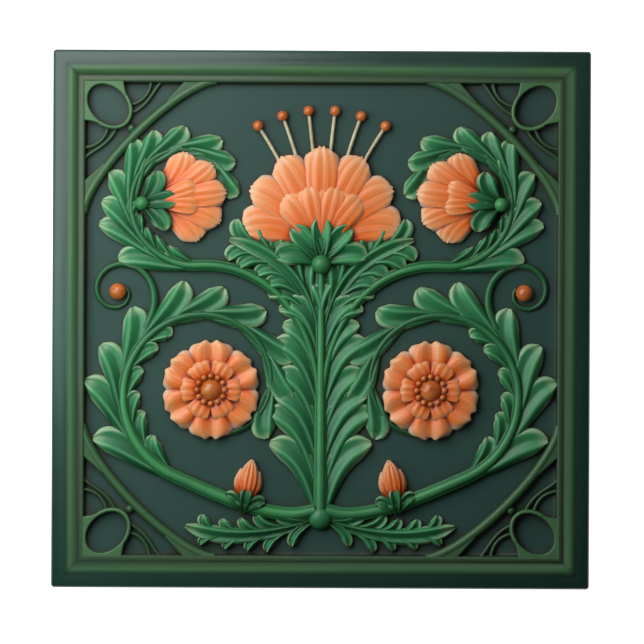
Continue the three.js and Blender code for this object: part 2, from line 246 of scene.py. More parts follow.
def remove(*pieces):
    for piece in pieces:
        bpy.data.objects.remove(piece)


def join(name, parts):
    """One piece of all the parts."""
    choose(*parts)
    if len(parts) > 1:
        bpy.ops.object.join()
    piece = bpy.context.object
    piece.name = name
    piece.data.name = name
    return piece


def flipped(piece, axis):
    """A mirror image of the piece."""
    twin = copy_of(piece)
    twin.data.transform(Matrix.Scale(-1, 4, axis))
    edit(twin)
    bpy.ops.mesh.select_all(action="SELECT")
    bpy.ops.mesh.normals_make_consistent(inside=False)
    done()
    return twin


def finish(piece, *materials):
    """Turns the piece to metres, smooths it, glazes it and sets it on the tile's body."""
    choose(piece)
    bpy.ops.object.transform_apply(location=True, rotation=True, scale=True)
    piece.data.transform(Matrix.Scale(metres, 4))
    bpy.ops.object.shade_smooth_by_angle(angle=math.radians(40))
    piece.data.materials.clear()
    for material in materials:
        piece.data.materials.append(material)
    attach(piece, "root")
    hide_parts("tile")


def finish_pair(name, parts, material):
    """One piece of the parts, for the ornament's right side, and its mirror image for the left."""
    right = join(name + "_right", parts)
    left = flipped(right, (1, 0, 0))
    left.name = name + "_left"
    finish(right, material)
    finish(left, material)


# Lines of the drawing


class Path:
    """A flat line on which any share of its length finds a place and a heading."""

    def __init__(self, points):
        self.points = points
        self.reached = [0.0]
        for here, there in zip(points, points[1:]):
            self.reached.append(self.reached[-1] + (there - here).length)
        self.length = self.reached[-1]

    def at(self, share):
        distance = share * self.length
        i = min(max(bisect.bisect_right(self.reached, distance) - 1, 0), len(self.points) - 2)
        step = self.points[i + 1] - self.points[i]
        place = self.points[i] + step * ((distance - self.reached[i]) / step.length)
        return place, step.normalized()

    def beside(self, along, aside):
        """So far along the line, or straight on past its end, and so far to its left."""
        place, ahead = self.at(min(along, self.length) / self.length)
        past = max(0, along - self.length)
        return place + ahead * past + Vector((-ahead.y, ahead.x)) * aside


def drawn_point(place):
    return Vector(place) * drawn


def bend(points, steps=48):
    """A cubic curve through its first and last points, led by the two between."""
    return Path([Vector(point) for point in interpolate_bezier(*points, steps)])


def bezier(points):
    return bend([drawn_point(point) for point in points])


def way(angle):
    return Vector((math.cos(angle), math.sin(angle)))


def volute(centre, start_radius, end_radius, start, turn, hold):
    """A spiral about a centre. Its angles are in degrees, anticlockwise.

    The greater hold is, the longer it keeps its radius before it closes in.
    """
    steps = 96
    points = []
    for i in range(steps + 1):
        share = i / steps
        radius = start_radius + (end_radius - start_radius) * share**hold
        angle = math.radians(start + turn * share)
        points.append(drawn_point(centre) + way(angle) * radius * drawn)
    return Path(points)


def rail(path, anchors, heights=None, radii=None):
    """The path as a curve object, with its height and its radius at each anchor."""
    curve = bpy.data.curves.new("rail", "CURVE")
    curve.dimensions = "3D"
    curve.twist_mode = "Z_UP"
    curve.resolution_u = 8
    spline = curve.splines.new("BEZIER")
    spline.bezier_points.add(anchors - 1)
    for i, anchor in enumerate(spline.bezier_points):
        share = i / (anchors - 1)
        place, _ = path.at(share)
        z = heights(share) if heights else 0
        anchor.co = (place.x, place.y, z)
        anchor.handle_left_type = "AUTO"
        anchor.handle_right_type = "AUTO"
        anchor.radius = radii(share) if radii else 1
    rail_object = bpy.data.objects.new("rail", curve)
    bpy.context.scene.collection.objects.link(rail_object)
    return rail_object


# Blades: the leaf fingers and the petals


def blade(section, outline, lift, lobing=0):
    """A closed blade, one unit long, one unit wide on each side of its middle, and one high.

    section gives its height at even steps across, outline its half width and lift its share of
    the height along it. Lobing sets the tip back where the section is low. Its U runs from root
    to tip and its V from side to side.
    """
    columns = len(section) - 1
    rows = 14
    foot = -0.3  # its underside lies below the field
    bpy.ops.mesh.primitive_grid_add(x_subdivisions=rows, y_subdivisions=columns, size=2)
    piece = bpy.context.object
    edit(piece)
    bpy.ops.mesh.select_all(action="SELECT")
    bpy.ops.transform.resize(value=(0.5, 1, 1), center_override=(1, 0, 0))
    for i, rise in enumerate(section):
        across = 2 * i / columns - 1
        pick_points(lambda place: abs(place.y - across) < hair)
        bpy.ops.transform.translate(value=(0, 0, rise))
    for i in range(rows + 1):
        along = i / rows
        pick_points(lambda place: abs(place.x - along) < hair)
        bpy.ops.transform.resize(value=(1, outline(along), lift(along)), center_override=(along, 0, 0))
    for i, rise in enumerate(section):
        across = (2 * i / columns - 1) * outline(1)
        pick_points(lambda place: place.x > 1 - hair and abs(place.y - across) < hair)
        bpy.ops.transform.translate(value=(lobing * (rise - 1), 0, 0))
    done()
    apply(piece, "SUBSURF", levels=1, render_levels=1)
    edit(piece)
    bpy.ops.mesh.select_all(action="SELECT")
    bpy.ops.mesh.region_to_loop()
    bpy.ops.mesh.extrude_region_move(TRANSFORM_OT_translate={"value": (0, 0, 0)})
    bpy.ops.transform.resize(value=(1, 1, 0), center_override=(0, 0, foot))
    bpy.ops.mesh.edge_face_add()
    bpy.ops.mesh.select_all(action="SELECT")
    bpy.ops.mesh.normals_make_consistent(inside=False)
    done()
    return piece


def lay(blank, path, half_width, rise, anchors=7):
    """A copy of the blade at its size, bent along the path and set on the field."""
    piece = copy_of(blank)
    piece.data.transform(Matrix.Diagonal((path.length, half_width, rise, 1)))
    line = rail(path, anchors)
    line.data.use_stretch = True
    line.data.use_deform_bounds = True
    apply(piece, "CURVE", object=line, deform_axis="POS_X")
    remove(line)
    piece.data.transform(Matrix.Translation((0, 0, field_height)))
    return piece


def swelling(root, broadest, tip=0.26, fullness=0.5):
    """Half width along a blade that swells from its root. Half fullness ends it round."""

    def outline(along):
        if along <= broadest:
            return root + (1 - root) * math.sin(along / broadest * math.pi / 2)
        past = (along - broadest) / (1 - broadest)
        return max(tip, max(0, 1 - past * past) ** fullness)

    return outline


def climbing(root, summit, tip):
    """Height along a blade that climbs from its root and turns down at its tip."""

    def lift(along):
        if along <= summit:
            return root + (1 - root) * math.sin(along / summit * math.pi / 2)
        past = (along - summit) / (1 - summit)
        return 1 - (1 - tip) * past**3

    return lift


def tapering(start, end):
    return lambda share: start + (end - start) * share


def rod(path, half_width, rise, anchors, taper=None):
    """A round rod bedded in the field along the path, its crest rise above the field."""
    share_at = taper or (lambda share: 1)
    line = rail(
        path,
        anchors,
        heights=lambda share: field_height + (rise - half_width) * share_at(share),
        radii=share_at,
    )
    line.data.bevel_depth = half_width
    line.data.bevel_resolution = 4
    line.data.use_fill_caps = True
    choose(line)
    bpy.ops.object.convert(target="MESH")
    return bpy.context.object


def stem(path, anchors, start, end):
    """A stem that thins from start to end, with a lower reed along each side of it."""
    thinning = tapering(start, end)
    strands = [rod(path, core_half_width, stem_rise, anchors, thinning)]
    for side in (1, -1):
        places = [path.beside(path.length * i / anchors, side * reed_offset * thinning(i / anchors))
                  for i in range(anchors + 1)]
        strands.append(rod(Path(places), reed_half_width, reed_rise, anchors + 1, thinning))
    return strands


def bead(place, radius, centre_rise):
    """A round bead, its middle so far above the field."""
    bpy.ops.mesh.primitive_uv_sphere_add(segments=24, ring_count=14, radius=radius)
    piece = bpy.context.object
    piece.data.transform(Matrix.Translation((*place, field_height + centre_rise)))
    return piece


# The slab


def frame_section():
    """Steps inwards over the frame from the outer edge: how far in, and how high it gets there."""
    steps = []
    margin_steps = 6
    margin_bend = 1.6  # the greater, the more of the fall lies at the outer edge
    for i in range(1, margin_steps + 1):
        left = 1 - i / margin_steps
        steps.append((margin_width / margin_steps, margin_rise - margin_fall * left**margin_bend))
    crest_steps = 14
    crest_slimness = 1.4
    quirk_level = fillet_rise - quirk_depth
    warp = math.log(0.5) / math.log(moulding_crest)
    for i in range(1, crest_steps + 1):
        share = i / crest_steps
        feet = margin_rise + (quirk_level - margin_rise) * share
        swell = math.sin(math.pi * share**warp) ** crest_slimness
        steps.append((moulding_width / crest_steps, feet + (moulding_rise - feet) * swell))
    round_steps = 4
    quarter = [i / round_steps * math.pi / 2 for i in range(round_steps + 1)]
    level_width = fillet_width - fillet_round - wall_draft
    for angle in quarter[1:]:
        steps.append((level_width / round_steps, quirk_level + quirk_depth * math.sin(angle)))
    for before, angle in zip(quarter, quarter[1:]):
        inwards = fillet_round * (math.sin(angle) - math.sin(before))
        steps.append((inwards, fillet_rise - fillet_round * (1 - math.cos(angle))))
    steps.append((wall_draft, field_cove))
    for before, angle in zip(quarter, quarter[1:]):
        inwards = field_cove * (math.cos(before) - math.cos(angle))
        steps.append((inwards, field_cove * (1 - math.sin(angle))))
    steps.append((level_border, 0))
    return steps


def key_cutter():
    """The bars that leave the keying grooves in the back."""
    side = tile_side - 2 * key_border
    pitch = (side + key_land) / key_grooves
    bars = []
    for i in range(key_grooves):
        bpy.ops.mesh.primitive_cube_add(size=1)
        bar = bpy.context.object
        bar.data.transform(Matrix.Diagonal((side, pitch - key_land, 2 * key_depth, 1)))
        bar.data.transform(Matrix.Translation((0, (i - (key_grooves - 1) / 2) * pitch, 0)))
        apply(bar, "BEVEL", width=key_round, segments=2)
        bars.append(bar)
    return join("key_cutter", bars)


def press_slab():
    """The body: a block whose face is inset step by step over the frame, down to the field."""
    rim_height = field_height + margin_rise - margin_fall
    bpy.ops.mesh.primitive_cube_add(size=1)
    piece = bpy.context.object
    piece.data.transform(Matrix.Diagonal((tile_side, tile_side, rim_height, 1)))
    piece.data.transform(Matrix.Translation((0, 0, rim_height / 2)))
    edit(piece)
    pick_points(lambda place: place.z > rim_height - hair)
    level = margin_rise - margin_fall
    for inwards, rise in frame_section():
        bpy.ops.mesh.inset(thickness=inwards)
        bpy.ops.transform.translate(value=(0, 0, rise - level))
        level = rise
    outside = half - hair
    pick_edges(lambda a, b: max(abs(a.x), abs(a.y)) > outside and max(abs(b.x), abs(b.y)) > outside
               and a.z + b.z > hair)
    bpy.ops.mesh.bevel(offset=corner_radius, segments=6)
    pick_edges(lambda a, b: a.z + b.z < hair)
    bpy.ops.mesh.bevel(offset=foot_chamfer, segments=2)
    done()
    cutter = key_cutter()
    apply(piece, "BOOLEAN", object=cutter, operation="DIFFERENCE", solver="EXACT")
    remove(cutter)
    piece.name = "tile_body"
    return piece


# Corner tracery


def inward(u, v):
    return Vector((field_half - u, field_half - v))


def flat_plate(outlines, rise):
    """A plate with rounded edges that stands in the field. Outlines after the first are holes."""
    plate = bpy.data.curves.new("plate", "CURVE")
    plate.dimensions = "2D"
    plate.fill_mode = "BOTH"
    for points in outlines:
        spline = plate.splines.new("POLY")
        spline.points.add(len(points) - 1)
        spline.use_cyclic_u = True
        for target, point in zip(spline.points, points):
            target.co = (point.x, point.y, 0, 1)
    thickness = rise + plate_bedding
    plate.extrude = thickness / 2 - plate_edge_round
    plate.bevel_depth = plate_edge_round
    plate.bevel_resolution = 3
    piece = bpy.data.objects.new("plate", plate)
    bpy.context.scene.collection.objects.link(piece)
    choose(piece)
    bpy.ops.object.convert(target="MESH")
    piece = bpy.context.object
    piece.data.transform(Matrix.Translation((0, 0, field_height + rise - thickness / 2)))
    return piece


def eye_point(grown, angle):
    """A point on the eye's outline, grown by a distance all round. The angle is in degrees."""
    along = (eye_length / 2 + grown) * math.cos(math.radians(angle))
    across = (eye_width / 2 + grown) * math.sin(math.radians(angle))
    eighth_turn = Matrix.Rotation(math.pi / 4, 2)
    return inward(eye_setback, eye_setback) + eighth_turn @ Vector((along, across))


def eye_plate():
    """The plate that fills the corner, with webs that run into the rim of an oval opening."""
    edge = plate_edge_round
    lap = edge + fillet_round + plate_lap
    from_web_to_web = range(110, 251, 7)  # degrees, round the eye's free side
    rim = [eye_point(eye_rim - edge, angle) for angle in from_web_to_web]
    web_top = inward(web_reach - edge, -lap)
    lead = inward(web_reach, web_reach * 0.3)
    pull = 0.67  # how far the web's curve is drawn towards the lead
    web = bend([web_top, web_top.lerp(lead, pull), rim[0].lerp(lead, pull), rim[0]], 10)
    into_rim = web.points
    out_of_rim = [Vector((p.y, p.x)) for p in reversed(into_rim)]
    outline = [inward(-lap, -lap)] + into_rim + rim[1:-1] + out_of_rim
    opening_steps = 48
    opening = [eye_point(edge, 360 * i / opening_steps) for i in range(opening_steps)]
    return flat_plate([outline, opening], web_rise)


def eye_ring():
    """The rod round the eye's free side, which sinks into the plate at both ends."""
    steps = 48
    points = [eye_point(eye_rim / 2, 90 + 180 * i / steps) for i in range(steps + 1)]
    return rod(Path(points), eye_rim / 2 + ring_proud, web_rise + ring_proud, 29,
               lambda share: min(1, 0.6 + 4 * min(share, 1 - share)))


def corner_tendrils():
    """Two thin tendrils on each side, from the fillet to the eye's rim."""
    parts = []
    for points in (inner_tendril, outer_tendril):
        for side in (points, [(v, u) for u, v in points]):
            path = bend([inward(u, v) for u, v in side])
            parts.append(rod(path, tendril_half_width, tendril_rise, 11))
    return parts


def corner_tracery():
    """One corner's tracery, modelled between +X and +Y and turned to all four."""
    brace = bend([inward(u, v) for u, v in brace_line])
    webs = [flat_plate([[inward(u, v) for u, v in side]], brace_web_rise)
            for side in (brace_web, [(v, u) for u, v in brace_web])]
    bead_place = inward(corner_bead_setback, corner_bead_setback)
    corner = join("corner", [
        eye_plate(),
        eye_ring(),
        *corner_tendrils(),
        rod(brace, brace_half_width, brace_rise, 25),
        *webs,
        bead(bead_place, corner_bead_radius, corner_bead_radius / 2),
    ])
    corners = [corner]
    for i in range(1, 4):
        turned = copy_of(corner)
        turned.data.transform(Matrix.Rotation(i * math.pi / 2, 4, "Z"))
        corners.append(turned)
    return join("corner_tracery", corners)


# Leaves


def fingers(blanks, rib, hand, count, end, reach, spread, fade):
    """Leaf fingers that spring from a rib, sweep along it and turn out to one side of it."""
    parts = []
    width = min(finger_half_width, finger_slimness * reach * drawn)
    # A finger's line along the rib and out from it, in shares of its own length
    line = ((0, 0), (0.36, 0.07), (0.8, 0.14), (0.85, spread + 0.05))
    for i in range(count):
        share = i / (count - 1)
        at = end * share * rib.length
        longer = 1.12 if i % 3 == 1 else 1
        length = reach * drawn * (1 - fade * share) * longer
        path = bend([rib.beside(at + along * length, aside * length * hand) for along, aside in line])
        lower = 0.9 if i % 2 else 1
        slimmer = 1 - 0.35 * fade * share
        parts.append(lay(blanks[hand], path, width * slimmer, finger_rise * lower))
    return parts


def leaf_pair(blanks, rib, pairs, left, right, end):
    """Fingers down both sides of a rib."""
    both = {"count": pairs, "end": end, "spread": 0.5, "fade": 0.3}
    return [
        *fingers(blanks, rib, 1, reach=left, **both),
        *fingers(blanks, rib, -1, reach=right, **both),
    ]


def acanthus(blanks, spine, pairs, left, right, end):
    """A whole leaf, whose rib is itself a longer finger."""
    rib = bezier(spine)
    return [
        *leaf_pair(blanks, rib, pairs, left, right, end),
        lay(blanks[1], rib, leaf_rib_half_width, leaf_rib_rise, 9),
    ]


# Blossoms


def petal_path(foot, heading, lean, length):
    """Out from the foot along a heading, and leaning over by an angle towards the tip."""
    root = drawn_point(foot)
    reach = length * drawn
    return bend([
        root,
        root + way(heading) * 0.35 * reach,
        root + way(heading) * 0.72 * reach,
        root + way(heading + lean) * reach,
    ], 16)


def side_flower(blank, foot, heading, spread, count, length, half_width, front):
    """A flower seen from the side. Its middle petal stands highest, over its neighbours.

    side runs from -1 to 1 over the petals, and is 0 in the middle.
    """
    parts = []
    for i in range(front):
        side = (2 * i - front + 1) / count
        turn = side * spread
        lean = 0.2 * side * spread
        path = petal_path(foot, math.radians(heading + turn), math.radians(lean), 0.64 * length)
        higher = 1.13 - 0.2 * abs(side)
        parts.append(lay(blank, path, 0.9 * half_width, petal_rise * higher))
    for i in range(count):
        side = 2 * i / (count - 1) - 1
        turn = 0.78 * side * spread
        lean = 0.3 * side * spread
        shorter = 1 - 0.2 * side * side
        path = petal_path(foot, math.radians(heading + turn), math.radians(lean), length * shorter)
        lower = 1 - 0.3 * abs(side)
        parts.append(lay(blank, path, half_width, petal_rise * lower))
    return parts


def seat(flower, length, half_width, rise):
    """The swollen end of a stem, on which a flower sits."""
    ahead = way(math.radians(flower["heading"]))
    root = drawn_point(flower["foot"]) - ahead * length
    return rod(Path([root, root + ahead * (length + half_width / 2)]), half_width, rise, 7,
               lambda share: 0.5 + 0.5 * share * share)


def knop(flower, setback, radius, rise):
    """The round swelling that a flower's sepals spring from."""
    place = Vector(flower["foot"]) - way(math.radians(flower["heading"])) * setback
    return bead(drawn_point(place), radius, rise - radius)


def calyx(blank, flower, spread, count, length, half_width):
    """Broad green sepals that hold a flower at its foot. The middle one lies over the others."""
    parts = []
    heading = flower["heading"]
    behind = 0.3  # how far behind the flower's foot they spring, as a share of their length
    root = Vector(flower["foot"]) - way(math.radians(heading)) * length * behind
    for i in range(count):
        side = 2 * i / (count - 1) - 1
        path = petal_path(root, math.radians(heading + side * spread),
                          math.radians(sepal_lean * side), length)
        higher = 1.2 - 0.14 * abs(side)
        parts.append(lay(blank, path, half_width, petal_rise * higher))
    return parts


def rosette(outer_blank, inner_blank, centre):
    """An open flower seen from the front: two whorls, the inner one turned by half a petal."""
    parts = []
    whorls = ((outer_blank, rosette_radius, 0, petal_rise * outer_whorl),
              (inner_blank, rosette_radius * inner_whorl, 0.5, petal_rise))
    start = 0.1  # the share of the radius where the petals begin
    slimness = 0.9  # of the half width at which their tips would touch
    for blank, radius, turn, rise in whorls:
        half_width = radius * math.sin(math.pi / rosette_petals) * slimness
        for i in range(rosette_petals):
            angle = math.pi / 2 + (i + turn) * 2 * math.pi / rosette_petals
            foot = Vector(centre) + way(angle) * start * radius
            path = petal_path(foot, angle, 0, (1 - start) * radius)
            parts.append(lay(blank, path, half_width, rise))
    return parts


def rosette_heart(centre):
    """The button in the middle of a rosette and the ring of small beads round it."""
    parts = [bead(drawn_point(centre), rosette_button, rosette_button_rise - rosette_button)]
    for i in range(heart_beads):
        out = way(i * 2 * math.pi / heart_beads) * (rosette_button + heart_bead_offset)
        parts.append(bead(drawn_point(centre) + out, heart_bead_radius, petal_rise - heart_bead_sink))
    return parts


def stamen_line(foot, i):
    """The line of one stamen in the fan over the crown. Nine tenths of its angle is at its foot."""
    aside = (i - (stamens - 1) / 2) * stamen_pitch
    return petal_path(foot, math.pi / 2 + 0.9 * aside, 0.1 * aside, stamen_length)


# Materials


def linear(code):
    """A colour in sRGB hex as the linear colour that shaders take."""
    channels = [int(code[i:i + 2], 16) / 255 for i in (1, 3, 5)]
    return [*(c / 12.92 if c <= 0.04045 else ((c + 0.055) / 1.055) ** 2.4 for c in channels), 1]


def node(tree, kind, inputs=None, out=0, stops=(), **settings):
    """Adds a node with its settings and gives one of its outputs.

    An input takes a value, or another node's output. Stops are places and colours of a ramp.
    """
    made = tree.nodes.new(kind)
    for name, value in settings.items():
        setattr(made, name, value)
    for name, value in (inputs or {}).items():
        if isinstance(value, bpy.types.NodeSocket):
            tree.links.new(value, made.inputs[name])
        else:
            made.inputs[name].default_value = value
    for i, (place, code) in enumerate(stops):
        if i == len(made.color_ramp.elements):
            made.color_ramp.elements.new(place)
        made.color_ramp.elements[i].position = place
        made.color_ramp.elements[i].color = linear(code)
    return made.outputs[out]


def brushed(tree, under, code, measure, start, end, strength=1.0):
    """A second glaze over the first: none where the measure is at start, and strength from end on."""
    share = node(tree, "ShaderNodeMapRange", interpolation_type="SMOOTHSTEP", inputs={
        "Value": measure, "From Min": start, "From Max": end, "To Max": strength})
    return node(tree, "ShaderNodeMix", {0: share, 6: under, 7: linear(code)}, out=2, data_type="RGBA")


def pooled_and_shaded(tree, under, code, distance, start, end):
    """Darker colour where the relief shuts out the sky, against a foot or in a groove: glaze that
    gathered there, and painted shade.
    """
    open_sky = node(tree, "ShaderNodeAmbientOcclusion", {"Distance": distance * metres}, out="AO",
                    samples=12)
    return brushed(tree, under, code, open_sky, end, start)


def distance_from(tree, measure, middle):
    """How far a measure is from a middle, to either side of it."""
    off = node(tree, "ShaderNodeMath", {0: measure, 1: middle}, operation="SUBTRACT")
    return node(tree, "ShaderNodeMath", {0: off}, operation="ABSOLUTE")


def over_blade(tree, uv):
    """How far along a blade, how far across it and how far from its middle towards a rim."""
    along = node(tree, "ShaderNodeSeparateXYZ", {"Vector": uv}, out="X")
    across = node(tree, "ShaderNodeSeparateXYZ", {"Vector": uv}, out="Y")
    return along, across, distance_from(tree, across, 0.5)


def new_material(name, colour_of, roughness, bump_size, bump_depth):
    """A material whose colour comes from a function, over a surface that ripples by bump_depth."""
    material = bpy.data.materials.new(name)
    material.use_nodes = True
    tree = material.node_tree
    shader = tree.nodes["Principled BSDF"]
    place = node(tree, "ShaderNodeTexCoord", out="Object")
    tree.links.new(colour_of(tree, place), shader.inputs["Base Color"])
    shader.inputs["Roughness"].default_value = roughness
    ripple = node(tree, "ShaderNodeTexNoise", {
        "Vector": place, "Scale": 1 / (bump_size * metres), "Detail": 1})
    bump = node(tree, "ShaderNodeBump", {
        "Height": ripple, "Strength": 0.3, "Distance": bump_depth * metres})
    tree.links.new(bump, shader.inputs["Normal"])
    return material


def glaze(name, colour_of, roughness):
    """Majolica glaze: opaque coloured lead glass, fired over the pressed clay.

    It gives the eye a soft satin sheen with a faint wet coat over it, slow ripples about five
    millimetres apart where it flowed, and colour that breaks pale on edges and pools in hollows,
    with painted highlight and painted shade laid into the colour.
    """
    material = new_material(name, colour_of, roughness, bump_size=5, bump_depth=0.16)
    shader = material.node_tree.nodes["Principled BSDF"]
    shader.inputs["IOR"].default_value = 1.5
    shader.inputs["Coat Weight"].default_value = 0.12
    shader.inputs["Coat Roughness"].default_value = 0.14
    return material


def rise_above_field(tree, place):
    """Height above the sunk field, in millimetres."""
    height = node(tree, "ShaderNodeSeparateXYZ", {"Vector": place}, out="Z")
    return node(tree, "ShaderNodeMath", {0: height, 1: 1 / metres, 2: -field_height},
                operation="MULTIPLY_ADD")


def from_middle(tree, place):
    """Distances from the tile's two middle lines, to the side and up or down the face."""
    x = node(tree, "ShaderNodeSeparateXYZ", {"Vector": place}, out="X")
    y = node(tree, "ShaderNodeSeparateXYZ", {"Vector": place}, out="Y")
    aside = node(tree, "ShaderNodeMath", {0: x}, operation="ABSOLUTE")
    ahead = node(tree, "ShaderNodeMath", {0: y}, operation="ABSOLUTE")
    return aside, ahead


def frame_share(tree, place, band):
    """How far in from the outer edge, as a share of a band this wide."""
    aside, ahead = from_middle(tree, place)
    farthest = node(tree, "ShaderNodeMath", {0: aside, 1: ahead}, operation="MAXIMUM")
    return node(tree, "ShaderNodeMath", {0: farthest, 1: -1 / (band * metres), 2: half / band},
                operation="MULTIPLY_ADD")


def frame_and_field_colour(tree, place):
    """Teal on the margin and the field, and moss green between, each run softly into the next, with
    painted highlight and painted shade on the frame.
    """
    band = 12  # millimetres from the outer edge that the ramp spans
    aside, ahead = from_middle(tree, place)
    inwards = frame_share(tree, place, band)
    moulding_start = margin_width / band
    crest = (margin_width + moulding_width * moulding_crest) / band
    quirk = (margin_width + moulding_width) / band
    fillet_end = (margin_width + moulding_width + fillet_width) / band
    # Painted highlight on the moulding's crest; painted shade at its feet, in the quirk and at the
    # fillet's inner edge
    bands = node(tree, "ShaderNodeValToRGB", {"Fac": inwards}, stops=[
        (0, "#113129"),
        (moulding_start - 0.04, "#12322a"),
        (moulding_start + 0.03, "#173322"),
        (crest - 0.06, "#2c4e32"),
        (crest, "#436a3c"),
        (quirk - 0.06, "#2b4b20"),
        (quirk, "#213317"),
        (quirk + 0.06, "#374b2a"),
        (fillet_end - 0.05, "#3a4f2f"),
        (fillet_end, "#2c362b"),
        (fillet_end + 0.1, "#1e3e38"),
    ])
    clouds = node(tree, "ShaderNodeTexNoise", {"Vector": place, "Scale": 1 / (26 * metres)})
    clouded = brushed(tree, bands, "#22463b", clouds, 0.35, 0.7, 0.25)
    # Painted shade: a dark line down the mitres, where the moulding's runs meet in a crease
    off_mitre = distance_from(tree, aside, ahead)
    past_margin = node(tree, "ShaderNodeMath", {0: inwards, 1: moulding_start},
                       operation="GREATER_THAN")
    before_field = node(tree, "ShaderNodeMath", {0: inwards, 1: quirk}, operation="LESS_THAN")
    on_moulding = node(tree, "ShaderNodeMath", {0: past_margin, 1: before_field},
                       operation="MULTIPLY")
    away = node(tree, "ShaderNodeMath", {0: on_moulding, 1: -1, 2: 1}, operation="MULTIPLY_ADD")
    mitre = node(tree, "ShaderNodeMath", {0: away, 1: off_mitre}, operation="ADD")
    mitre_shaded = brushed(tree, clouded, "#15290f", mitre, 0.9 * metres, 0, 0.6)
    # Painted shade, with gathered glaze, in the angles against the fillet and the corner tracery
    return pooled_and_shaded(tree, mitre_shaded, "#2a241c", 3.4, 0.3, 0.88)


def duller_past_margin(material):
    """The margin's glaze lies flat and shines. Inside it the glaze is thinner, and duller."""
    tree = material.node_tree
    place = node(tree, "ShaderNodeTexCoord", out="Object")
    inwards = frame_share(tree, place, margin_width)
    roughness = node(tree, "ShaderNodeMapRange", {
        "Value": inwards, "From Min": 0.8, "From Max": 1.3,
        "To Min": margin_roughness, "To Max": inner_roughness})
    tree.links.new(roughness, tree.nodes["Principled BSDF"].inputs["Roughness"])


def tracery_colour(tree, place):
    """The fillet's moss green, darker at the foot as painted shade, and pale along the crests, partly
    glaze run thin and partly painted highlight.
    """
    rise = rise_above_field(tree, place)
    share = node(tree, "ShaderNodeMath", {0: rise, 1: fillet_rise}, operation="DIVIDE")
    # Painted shade low down, and painted highlight with thinner glaze on the crests
    body = node(tree, "ShaderNodeValToRGB", {"Fac": share}, stops=[
        (0.12, "#1c170f"), (0.5, "#30482a"), (0.86, "#3c5c36"), (1, "#557b4c")])
    clouds = node(tree, "ShaderNodeTexNoise", {"Vector": place, "Scale": 1 / (14 * metres)})
    return brushed(tree, body, "#285535", clouds, 0.35, 0.7, 0.4)


def leaf_colour(tree, place):
    """Copper green, dark towards the foot, pale sage on rims, tips and the rolled far side: glaze run
    thin and painted highlight.

    The blade's U runs along it and its V across it.
    """
    along, across, to_rim = over_blade(tree, node(tree, "ShaderNodeUVMap"))
    clouds = node(tree, "ShaderNodeTexNoise", {"Vector": place, "Scale": 1 / (22 * metres)})
    body = node(tree, "ShaderNodeValToRGB", {"Fac": clouds}, stops=[
        (0.3, "#145031"), (0.5, "#1b633b"), (0.72, "#277544")])
    rooted = brushed(tree, body, "#114726", along, 0.55, 0.05, 0.8)
    lit = brushed(tree, rooted, "#3f935b", along, 0.45, 0.95, 0.6)
    # Painted highlight along the ridge, and painted shade in the hollow beside it
    from_ridge = distance_from(tree, across, ridge_place)
    ridge_highlit = brushed(tree, lit, "#62a46f", from_ridge, 0.1, 0, 0.5)
    from_hollow = distance_from(tree, across, hollow_place)
    hollow_shaded = brushed(tree, ridge_highlit, "#1a4c28", from_hollow, 0.13, 0.02, 0.45)
    # Past the root the far side, the rims and the tips are pale: glaze run thin, and painted highlight
    late = node(tree, "ShaderNodeMath", {0: along, 1: 0.35}, operation="POWER")
    far_side = node(tree, "ShaderNodeMath", {0: across, 1: late}, operation="MULTIPLY")
    rolled = brushed(tree, hollow_shaded, "#a3b78e", far_side, 0.7, 0.86, 0.75)
    rim = node(tree, "ShaderNodeMath", {0: to_rim, 1: late}, operation="MULTIPLY")
    rimmed = brushed(tree, rolled, "#a9bd97", rim, 0.34, 0.46, 0.8)
    tipped = brushed(tree, rimmed, "#a8bc94", along, 0.84, 1, 0.65)
    rise = rise_above_field(tree, place)
    # Painted shade low down, near the field
    foot_shaded = brushed(tree, tipped, "#24451f", rise, 1.2, 0.1, 0.9)
    # Painted shade, with gathered glaze, where the fingers meet the field and each other
    return pooled_and_shaded(tree, foot_shaded, "#24481f", 3, 0.4, 0.9)


def stem_colour(tree, place):
    """The leaves' copper green, darker in the flutes as painted shade, and paler along the crest,
    glaze run thin and painted highlight.
    """
    rise = rise_above_field(tree, place)
    share = node(tree, "ShaderNodeMath", {0: rise, 1: stem_rise}, operation="DIVIDE")
    # Painted shade low in the flutes, painted highlight with thinner glaze along the crest
    body = node(tree, "ShaderNodeValToRGB", {"Fac": share}, stops=[
        (0.1, "#1f3f1c"), (0.5, "#1c5229"), (0.85, "#216a35"), (1, "#40894f")])
    clouds = node(tree, "ShaderNodeTexNoise", {"Vector": place, "Scale": 1 / (17 * metres)})
    clouded = brushed(tree, body, "#1b5a3a", clouds, 0.35, 0.7, 0.5)
    # Painted shade, with gathered glaze, where the stems meet the field and the leaves
    return pooled_and_shaded(tree, clouded, "#1e3f1b", 2, 0.35, 0.85)


